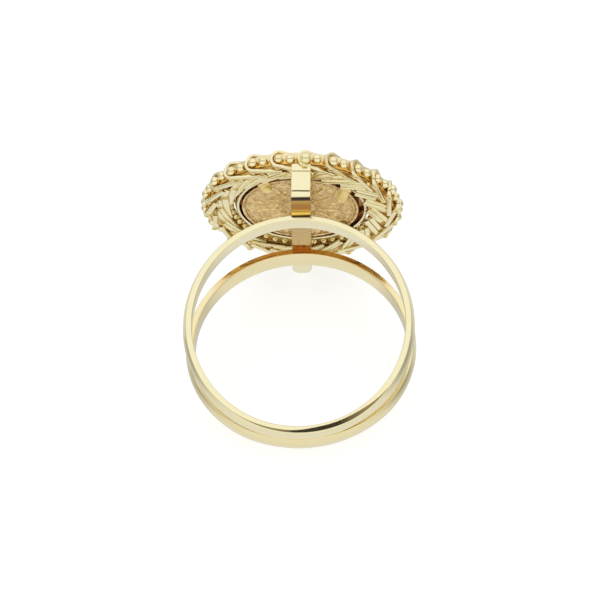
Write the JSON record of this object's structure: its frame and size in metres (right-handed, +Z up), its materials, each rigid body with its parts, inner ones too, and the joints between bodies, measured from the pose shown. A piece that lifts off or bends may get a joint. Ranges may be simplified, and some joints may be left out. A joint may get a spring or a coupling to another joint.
{
  "type": "coin ring",
  "caption": "Gold finger ring with two splayed bands, a bent strap and a plaited, granulated border round a small loose-set coin.",
  "frame": {"origin": "middle of the ring's outline, on the surface that it lies on", "axes": "+Y from the bottom of the bands to the head, +Z up from the surface, +X across the ring; the finger hole points 17 degrees off +Z"},
  "size_m": [0.019, 0.0236, 0.0161],
  "materials": {
    "gold": "polished pale yellow 18 carat gold, satin in the plaited border",
    "coin_gold": "worn matt gold with low relief"
  },
  "bodies": {
    "root": {"ring_mount": "gold", "coin": "coin_gold"}
  },
  "joints": []
}
